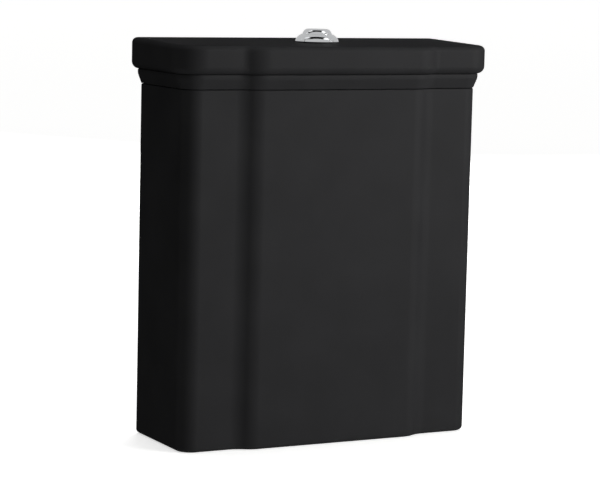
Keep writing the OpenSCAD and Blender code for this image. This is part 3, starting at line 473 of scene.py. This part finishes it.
# %% Lid
wall_gap, lip_h = 0.5, 9.0
lid_back = back_y - wall_gap
lip_in, lip_out, lip_r, lip_foot = -20.0, -13.0, 1.5, lid_z - lip_h
pad_in, joint_in = 1.0, -1.2
lid_levels = [(lip_in, back_y + lip_in, ceiling, CHINA), (lip_in, back_y + lip_in, lip_foot + lip_r, CHINA)]
lip = arc(lip_in + lip_r, lip_foot + lip_r, lip_r, 180, 270, 4)
lip += arc(lip_out - lip_r, lip_foot + lip_r, lip_r, -90, 0, 4)
for g, z in lip:
    lid_levels.append((g, back_y + g, z, CHINA))
lid_levels.append((lip_out, back_y + lip_out, lid_z - pad_in, CHINA))
lid_levels.append((joint_in, lid_back + joint_in, lid_z - pad_in, CHINA))
print("levels of the underside:", len(lid_levels))

# %% Cornice
# Each pair says how far the cornice stands out from the tank and how high that is above the joint
mould_out, mould_h, quirk, under_r, top_r = 4.8, 15.5, 1.2, 8.5, 6.0
band_top = lid_top - lid_z - top_r
ease_share, ease_most = 0.25, 1.5
cornice = [(-0.3, -1.0), (0.1, -0.8), (0.4, -0.5), (0.6, 0.0)]
cornice += [(3.7, 7.6), (4.25, 8.9), (4.55, 9.9), (4.72, 10.9), (mould_out, 11.9)]
cornice += [(mould_out, mould_h - 1.0), (4.5, mould_h - 0.55), (mould_out - quirk, mould_h - 0.3)]
cornice += arc(overhang - under_r, mould_h + under_r, under_r, -90, 0, 12)
cornice += arc(overhang - top_r, band_top, top_r, 0, 90, 12)
for g, z in cornice:
    ease = min(ease_most, ease_share * (overhang - g)) if z > band_top else 0.0
    lid_levels.append((g, lid_back - ease, lid_z + z, GLAZE))
lid_mesh = skin("lid_ceramic", lid_levels, tilt_from=lid_top - top_r)
print("lid faces:", len(lid_mesh.polygons))

# %% Seat of the button
# A hair of play keeps the faces of boss and cutters apart, so that the lid stays one closed skin
seat_r, seat_t, button_hole, hair = 25.6, 6.0, 20.0, 0.02
boss = (0, 0, lid_top - seat_t / 2, seat_r, seat_t - 2 * hair, 0)
level_cut = (0, 0, lid_top + seat_t / 2, seat_r + 0.1, seat_t, 0)
lid_mesh = punch(lid_mesh, [boss], "UNION")
lid_mesh = punch(lid_mesh, [level_cut, (0, 0, (ceiling + lid_top) / 2, button_hole, through, 0)])
smooth(lid_mesh)
keep(lid_mesh, "lid_ceramic", "lid", "black_glaze", "lid")
print("lid faces with seat:", len(lid_mesh.polygons))

# %% [markdown]
# ## Turned pieces and threads
# Collar, button, seat and tail are round. Their profile is swept round the axis in many steps. A thread
# is the same sweep with the radius pulled in along a helix, so the crests stay at the nominal diameter
# and nothing stands out further than the solid. A radius may also be a function of the angle, for a
# piece with grips.


# %% Turn a profile
PER_TURN, RUN_OUT = 8, 3


def thread_rows(r, z0, z1, pitch, depth):
    count = max(2, round(abs(z1 - z0) / pitch * PER_TURN))
    depths = [depth if RUN_OUT < i < count - RUN_OUT else 0.0 for i in range(count + 1)]
    return [(r, z0 + (z1 - z0) * i / count, pitch, cut) for i, cut in enumerate(depths)]


def turned(name, rows, material, centre=(0.0, 0.0), steps=96, closed=False):
    rows = [tuple(row) + (1.0, 0.0) * (len(row) == 2) for row in rows]
    points, faces = [], []
    for r, z, pitch, depth in rows:
        for i in range(steps):
            # Along one pitch a thread has a flat crest, two slanted flanks and a flat root
            phase = (z / pitch - i / steps) % 1.0
            cut = depth * min(1.0, max(0.0, 3.0 * abs(phase - 0.5) - 0.25))
            a = 2 * math.pi * i / steps
            reach = (r(a) if callable(r) else r) - cut
            x = centre[0] + reach * math.cos(a)
            y = centre[1] + reach * math.sin(a)
            points.append((x * MM, y * MM, z * MM))
    last = len(rows) if closed else len(rows) - 1
    for k in range(last):
        a, b = k * steps, (k + 1) % len(rows) * steps
        for i in range(steps):
            j = (i + 1) % steps
            faces.append([a + i, a + j, b + j, b + i])
    return mesh_of(name, points, faces, material, weld=True)


print("lathe ready")

# %% [markdown]
# ## Button and collar
# The collar is a swelling chrome ring with a threaded shank that passes through the lid. The button is a
# knob with a swelling shoulder and a flat top, and its stem runs down through the collar's web. Both are
# turned from their real section, because two plain discs would lose the double swell.


# %% Collar
def swell_middle(r, z, swell, lean):
    return r - swell * math.cos(math.radians(lean)), z - swell * math.sin(math.radians(lean))


shank_r, bore_r, stem_hole = 19.2, 17.2, 6.4
shank_end, web_t = lid_top - 26.0, 3.0
collar_r, swell_r, lean = 24.6, 13.0, 22.0
seal_t, rim_h, collar_h = 0.8, 1.2, 8.2
foot_z = lid_top + seal_t
swell_z, crest_z = foot_z + rim_h, foot_z + collar_h
foot_edge, bore_edge = 0.3, 0.25
mid_r, mid_z = swell_middle(collar_r, swell_z, swell_r, lean)
crest = math.degrees(math.asin((crest_z - mid_z) / swell_r))
rows = thread_rows(shank_r, shank_end, lid_top, 3.0, 0.9)
rows += [(shank_r, foot_z), (collar_r - foot_edge, foot_z), (collar_r, foot_z + foot_edge)]
# The swell starts a little above the rim, which leaves a fine bright edge below it
rows += arc(mid_r, mid_z, swell_r, lean + 8, crest, 24)
rows += [(bore_r + bore_edge, crest_z), (bore_r, crest_z - bore_edge), (bore_r, lid_top)]
rows += [(bore_r, shank_end + web_t), (stem_hole, shank_end + web_t), (stem_hole, shank_end)]
collar_mesh = turned("button_collar_chrome", rows, chrome, closed=True)
smooth(collar_mesh, 40)
collar = keep(collar_mesh, "button_collar_chrome", "lid", "chrome", "button_collar")
print("collar faces:", len(collar_mesh.polygons))

# %% Button
button_r, dome_r, dome_lean = 17.0, 10.3, 12.0
under, wall_z, peak_z = lid_top + 4.0, lid_top + 8.4, lid_top + 15.0
stem_r, stem_edge, stem_end, skirt_edge = 6.0, 0.6, shank_end - 8.0, 0.4
mid_r, mid_z = swell_middle(button_r, wall_z, dome_r, dome_lean)
rows = [(0.0, stem_end), (stem_r - stem_edge, stem_end), (stem_r, stem_end + stem_edge), (stem_r, under)]
rows += [(button_r - skirt_edge, under), (button_r, under + skirt_edge)]
rows += arc(mid_r, mid_z, dome_r, dome_lean, 48, 20)
edge_r, edge_z = rows[-1]
rim = mid_r + math.sqrt(dome_r ** 2 - (peak_z - mid_z) ** 2)
flat_r, bend_steps = rim - 1.6, 6
for i in range(1, bend_steps + 1):
    u = i / bend_steps
    v = 1 - u
    rows.append((v * v * edge_r + 2 * u * v * rim + u * u * flat_r, v * v * edge_z + (1 - v * v) * peak_z))
rows.append((0.0, peak_z))
button_mesh = turned("push_button_chrome", rows, chrome)
smooth(button_mesh, 40)
button = keep(button_mesh, "push_button_chrome", "button", "chrome", "push_button")
print("button faces:", len(button_mesh.polygons))

# %% [markdown]
# ## The ring nut
# A moulded ring nut clamps the collar from below. Eight grips stand out from it for the fingers, with
# slanted sides so that the nut leaves its mould. Blocks set on a ring would leave seams inside, so the
# radius of the sweep rises and falls round the ring instead.

# %% Ring nut
nut_lo, nut_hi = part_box("button_nut")
nut_z, nut_top, grip_r = nut_lo.z / MM, nut_hi.z / MM, nut_hi.x / MM
thread_play, nut_w = 0.15, 5.5
nut_bore, nut_r = shank_r + thread_play, shank_r + nut_w
grip_w, grips, soften = 4.0, 8, 0.5


def grip_outline(shrink):
    def radius(a):
        # How far this angle lies from the middle of the nearest grip, along the rim
        aside = abs((a * grips / (2 * math.pi) + 0.5) % 1.0 - 0.5) * 2 * math.pi / grips * grip_r
        rise = (grip_w / 2 - aside) / soften
        return nut_r + (grip_r - nut_r) * min(1.0, max(0.0, rise)) - shrink
    return radius


rows = [(nut_bore + soften, nut_z), (grip_outline(soften), nut_z), (grip_outline(0.0), nut_z + soften)]
rows += [(grip_outline(0.0), nut_top - soften), (grip_outline(soften), nut_top)]
rows += [(nut_bore + soften, nut_top), (nut_bore, nut_top - soften), (nut_bore, nut_z + soften)]
nut_mesh = turned("button_nut_moulded", rows, white_pp, steps=384, closed=True)
smooth(nut_mesh, 30)
keep(nut_mesh, "button_nut_moulded", "lid", "white_plastic", "button_nut")
print("nut faces:", len(nut_mesh.polygons))

# %% [markdown]
# ## The return spring
# The spring is one wire wound in six turns. Its section is carried along the helix, turned so that it
# stays square to the wire. When the button goes down the coil shortens towards its seat, from 27 mm to
# 20 mm.

# %% Return spring
spring_r, wire_r, turns = 10.5, 0.9, 6
steps, sides = 32 * turns, 12
# The wire lies a hair inside the solid one, and its leaning ends reach a little less than its radius
slim, end_reach = 0.98, 0.87
spring_lo, spring_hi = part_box("button_spring")
z_lo = spring_lo.z / MM + wire_r * end_reach
z_hi = spring_hi.z / MM - wire_r * end_reach
points, faces = [], []
climb = math.atan((z_hi - z_lo) / (2 * math.pi * spring_r * turns))
for i in range(steps + 1):
    a = 2 * math.pi * turns * i / steps
    out = Vector((math.cos(a), math.sin(a), 0.0))
    up = Vector((math.sin(a) * math.sin(climb), -math.cos(a) * math.sin(climb), math.cos(climb)))
    middle = out * spring_r + Vector((0.0, 0.0, z_lo + (z_hi - z_lo) * i / steps))
    for k in range(sides):
        b = 2 * math.pi * k / sides
        points.append((middle + (out * math.cos(b) + up * math.sin(b)) * wire_r * slim) * MM)
for i in range(steps):
    for k in range(sides):
        a, b, n = i * sides, (i + 1) * sides, (k + 1) % sides
        faces.append([a + k, b + k, b + n, a + n])
faces += [list(range(sides)), [steps * sides + k for k in range(sides)][::-1]]
spring_mesh = mesh_of("return_spring", points, faces, steel)
smooth(spring_mesh, 50)
spring = keep(spring_mesh, "return_spring", "lid", "spring_steel", "button_spring")
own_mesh(spring)

# %% [markdown]
# ## Threaded tails
# Under the floor stand two threaded tails: the wide outlet of the flush valve and the narrow inlet of
# the fill valve. Plain cylinders would look unfinished from below, so both are turned with their
# threads.

# %% Outlet seat and tail
tail_r, bore, tail_end, lead_in = 29.0, 24.0, floor_lo - 38.0, 0.8
thread_end, seat_z = floor_lo + 2.0, floor_hi + 3.0
flange_r, flange_z, flange_edge = 40.0, seat_z + 5.0, 0.6
weir_out, weir_in, weir_z, weir_edge = 28.5, 25.5, floor_hi + 13.0, 0.8
rows = [(bore, tail_end), (tail_r - lead_in, tail_end)]
rows += thread_rows(tail_r, tail_end + lead_in, thread_end, 4.0, 1.6)
rows += [(tail_r, seat_z), (flange_r - flange_edge, seat_z), (flange_r, seat_z + flange_edge)]
rows += [(flange_r, flange_z - flange_edge), (flange_r - flange_edge, flange_z), (weir_out, flange_z)]
rows += [(weir_out, weir_z - weir_edge), (weir_out - weir_edge, weir_z), (weir_in + weir_edge, weir_z)]
rows += [(weir_in, weir_z - weir_edge), (weir_in, thread_end + 2.0), (bore, thread_end)]
seat_mesh = turned("outlet_seat_threaded", rows, white_pp, closed=True)
smooth(seat_mesh, 40)
keep(seat_mesh, "outlet_seat_threaded", "tank", "white_plastic", "outlet_seat")
print("outlet seat faces:", len(seat_mesh.polygons))

# %% Inlet tail and riser
supply_r, inlet_r, water_r, riser_r = 8.3, 10.4, 5.0, 9.0
supply_end, supply_top = floor_lo - 40.0, floor_lo - 16.0
base_r, base_top, base_edge, root_r = 17.0, seat_z + 4.0, 0.5, 2.0
stop_r, stop_t, float_z, head_z = riser_r + 3.0, 4.0, 200.0, 290.0
rows = [(water_r, supply_end), (supply_r - lead_in, supply_end)]
rows += thread_rows(supply_r, supply_end + lead_in, supply_top, 1.8, 0.8)
rows += [(inlet_r - lead_in, supply_top)]
rows += thread_rows(inlet_r, supply_top + lead_in, thread_end, 2.5, 1.0)
rows += [(inlet_r, seat_z), (base_r - base_edge, seat_z), (base_r, seat_z + base_edge)]
rows += [(base_r, base_top - base_edge), (base_r - base_edge, base_top), (riser_r + root_r, base_top)]
rows += arc(riser_r + root_r, seat_z + 10.0, root_r, 225, 180, 4)
rows += [(riser_r, float_z - stop_t), (stop_r, float_z - stop_t), (stop_r, float_z), (riser_r, float_z)]
rows += [(riser_r, head_z), (water_r, head_z)]
shank_mesh = turned("fill_shank_threaded", rows, white_pp, centre=(inlet_x, 0.0), steps=64, closed=True)
smooth(shank_mesh, 40)
keep(shank_mesh, "fill_shank_threaded", "tank", "white_plastic", "fill_shank")
print("fill shank faces:", len(shank_mesh.polygons))

# %% [markdown]
# ## The coupling ring
# The thick foam ring under the outlet is soft. Its cut edge is rounded and its wall bellies a little
# between the faces, so it is turned from a curved section that stays inside the solid.

# %% Coupling ring
ring_lo, ring_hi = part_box("coupling_washer")
r_out, r_in = ring_hi.x / MM, 40.5
z_low, z_top = ring_lo.z / MM, ring_hi.z / MM
nose_h, nose_r, nose_in, belly, belly_steps = 7.0, 2.5, 5.0, 1.2, 12
cut_edge, top_drop = 1.0, 0.3
rows = []
for i in range(belly_steps + 1):
    share = i / belly_steps
    z = z_low + nose_h + (z_top - z_low - nose_h) * share
    rows.append((r_out - belly + belly * math.sin(math.pi * (0.12 + 0.76 * share)), z))
rows[-1] = (rows[-1][0], z_top - top_drop)
rows += [(r_out - belly - cut_edge, z_top), (r_in + cut_edge, z_top), (r_in, z_top - cut_edge)]
rows += [(r_in, z_low + nose_h)]
rows += arc(r_in + nose_r, z_low + nose_r, nose_r, 170, 270, 6)
rows += arc(r_out - nose_in, z_low + nose_r, nose_r, -90, 10, 6)
foam_mesh = turned("coupling_ring_foam", rows, foam, closed=True)
smooth(foam_mesh, 60)
keep(foam_mesh, "coupling_ring_foam", "tank", "foam_rubber", "coupling_washer")
print("coupling ring faces:", len(foam_mesh.polygons))

# %% [markdown]
# ## Camera
# The photograph was taken from slightly above and from the left with a long lens. The camera stands at
# the place that makes the ceramic's edges fall on the same points of a picture of 600 by 500.

# %% Camera
# The target falls on one pixel of the picture. Distances are in millimetres, the focal length in pixels
target, target_px, dist, focal = Vector((0.0, -15.35, 200.0)), (317.8, 263.1), 2673.0, 2349.2
picture_w, picture_h, sensor = 600, 500, 36.0
yaw, pitch, roll = math.radians(27.52), math.radians(7.25), math.radians(-1.36)
look = Vector((math.sin(yaw) * math.cos(pitch), math.cos(yaw) * math.cos(pitch), -math.sin(pitch)))
right = Vector((math.cos(yaw), -math.sin(yaw), 0.0))
down = look.cross(right)
cos_roll, sin_roll = math.cos(roll), math.sin(roll)
right, down = right * cos_roll + down * sin_roll, down * cos_roll - right * sin_roll
aside = (target_px[0] - picture_w / 2) / focal * dist
below = (target_px[1] - picture_h / 2) / focal * dist
spot = target - look * dist - right * aside - down * below
eye = bpy.data.cameras.new("camera")
eye.sensor_width, eye.lens = sensor, focal / picture_w * sensor
eye.clip_start, eye.clip_end = 0.05, 60.0
camera = bpy.data.objects.new("camera", eye)
bpy.context.scene.collection.objects.link(camera)
turn = Matrix((right, -down, -look)).transposed()
camera.matrix_world = Matrix.Translation(spot * MM) @ turn.to_4x4()
bpy.context.scene.camera = camera
print("camera at", [round(c, 3) for c in camera.location], "lens", round(eye.lens, 2))

# %% [markdown]
# ## Studio
# The cistern stands on a pale floor that runs up into a round backdrop. The backdrop is only for the
# camera: reflected in the glaze it would turn the top of the lid grey. A soft box on the right, level with
# the lid and narrowed towards it, is the main light. A box overhead lights the top of the lid, one below
# stands for the light that the floor throws up, one behind shows the back, and weak even light fills the
# shade on the left. Chrome only shows what it mirrors, so white cards stand round it like a tent. They
# light nothing else, and the slit between them gives the dark streaks along the button and the collar.

# %% Floor and backdrop
pale = start("pale_studio_floor", Roughness=0.9, Base_Color=linear("#F4F4F3"),
             Emission_Color=linear("#FFFFFF"), Emission_Strength=0.6)[0]
floor_z, floor_r, bend_r, wall_top = -0.2, 3500.0, 900.0, 4500.0
rows = [(0.0, floor_z)] + arc(floor_r, floor_z + bend_r, bend_r, -90, 0, 10)
rows += [(floor_r + bend_r, wall_top)]
bowl_mesh = turned("studio_floor", rows, pale, steps=128)
smooth(bowl_mesh, 60)
bowl = bpy.data.objects.new("studio_floor", bowl_mesh)
bpy.context.scene.collection.objects.link(bowl)
bowl.visible_glossy = bowl.visible_diffuse = bowl.visible_shadow = False
print("floor made")

# %% Lights
MIDDLE = (0.0, 0.0, 0.25)


def soft_box(name, azimuth, elevation, distance, width, height, watts, only=None, aim=MIDDLE, spread=180):
    lamp = bpy.data.lights.new(name, "AREA")
    lamp.shape, lamp.size, lamp.size_y, lamp.energy = "RECTANGLE", width, height, watts
    lamp.spread = math.radians(spread)
    box = bpy.data.objects.new(name, lamp)
    bpy.context.scene.collection.objects.link(box)
    a, e = math.radians(azimuth), math.radians(elevation)
    way = Vector((math.sin(a) * math.cos(e), -math.cos(a) * math.cos(e), math.sin(e)))
    box.location = Vector(aim) + way * distance
    box.rotation_mode = "QUATERNION"
    box.rotation_quaternion = way.to_track_quat("Z", "Y")
    box.visible_camera = False
    if only:
        box.light_linking.receiver_collection = only
    return box


bright = bpy.data.collections.new("chrome_pieces")
bright.objects.link(collar)
bright.objects.link(button)
soft_box("main_soft_box", 41, 9, 2.3, 1.2, 1.2, 7.4, aim=(0.22, -0.06, 0.54), spread=54)
soft_box("top_soft_box", 150, 82, 3.5, 1.6, 1.6, 46).visible_glossy = False
soft_box("back_soft_box", 150, 14, 3.5, 1.6, 1.6, 60).visible_glossy = False
soft_box("floor_bounce", 42, -75, 3.5, 1.6, 1.6, 38).visible_glossy = False
soft_box("front_card", -27, 33, 2.0, 7.0, 3.0, 40, bright)
soft_box("back_card", 153, 40, 1.6, 7.0, 3.4, 45, bright)
soft_box("left_card", -116, 17, 2.2, 0.9, 1.85, 3.0, bright)
soft_box("right_card", 61, 17, 2.2, 0.9, 1.85, 3.0, bright)
soft_box("right_window", 50, 55, 2.2, 0.8, 0.85, 3.4, bright)
soft_box("left_window", -117, 60, 2.2, 0.6, 0.7, 0.9, bright)
sky = bpy.data.worlds.new("studio_air")
sky.use_nodes = True
air = sky.node_tree.nodes["Background"]
air.inputs["Color"].default_value = linear("#FFFFFF")
air.inputs["Strength"].default_value = 0.33
bpy.context.scene.world = sky
sky.cycles_visibility.glossy = False
bpy.context.scene.view_settings.view_transform = "Standard"
